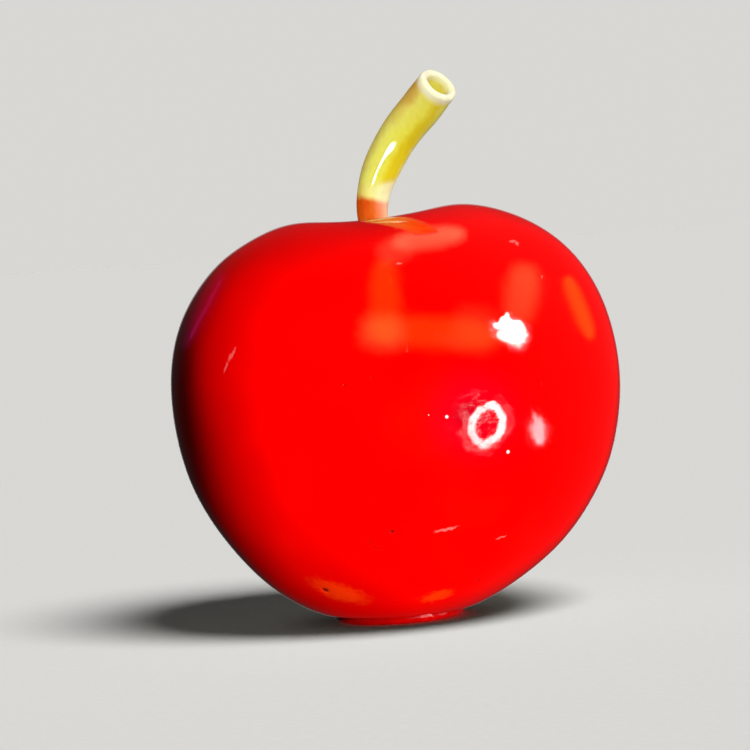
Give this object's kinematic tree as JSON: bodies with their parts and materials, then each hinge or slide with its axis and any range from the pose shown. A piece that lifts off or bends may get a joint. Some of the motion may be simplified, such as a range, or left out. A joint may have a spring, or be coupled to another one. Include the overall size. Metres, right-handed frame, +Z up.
{
  "type": "tomato pincushion",
  "caption": "Glossy red fruit-shaped pincushion with a seamless moulded skin over packed stuffing, a hollow bent green stem and a plugged flat base.",
  "frame": {"origin": "centre of the base plug's flat underside, on the surface that the pincushion stands on", "axes": "+Z up along the stem's hole, which is the pincushion's longest extent; -Y towards the front, the side that the stem's open tip leans to; +X to the right, the side that the stem bends to"},
  "size_m": [0.036, 0.036, 0.0434],
  "materials": {
    "fruit_skin": "glossy moulded red vinyl, finely scratched",
    "stem_tube": "translucent yellow-green vinyl tube, glossy, paler at the cut tip",
    "stem_peg": "solid red vinyl",
    "stem_cement": "dried clear cement, tinted by the red below it",
    "wadding": "matted cotton wadding",
    "calico": "unbleached plain-weave calico",
    "thread": "waxed cotton thread",
    "sawdust": "fine packed sawdust",
    "card": "stiff grey-brown card",
    "base_plug": "red moulded plug, satin"
  },
  "bodies": {
    "root": {"fruit_skin": "fruit_skin", "stem_tube": "stem_tube", "stem_peg": "stem_peg", "stem_cement": "stem_cement", "wadding_layer": "wadding", "sawdust_bag": "calico", "bag_tie": "thread", "sawdust_core": "sawdust", "base_card": "card", "base_plug": "base_plug"}
  },
  "joints": []
}
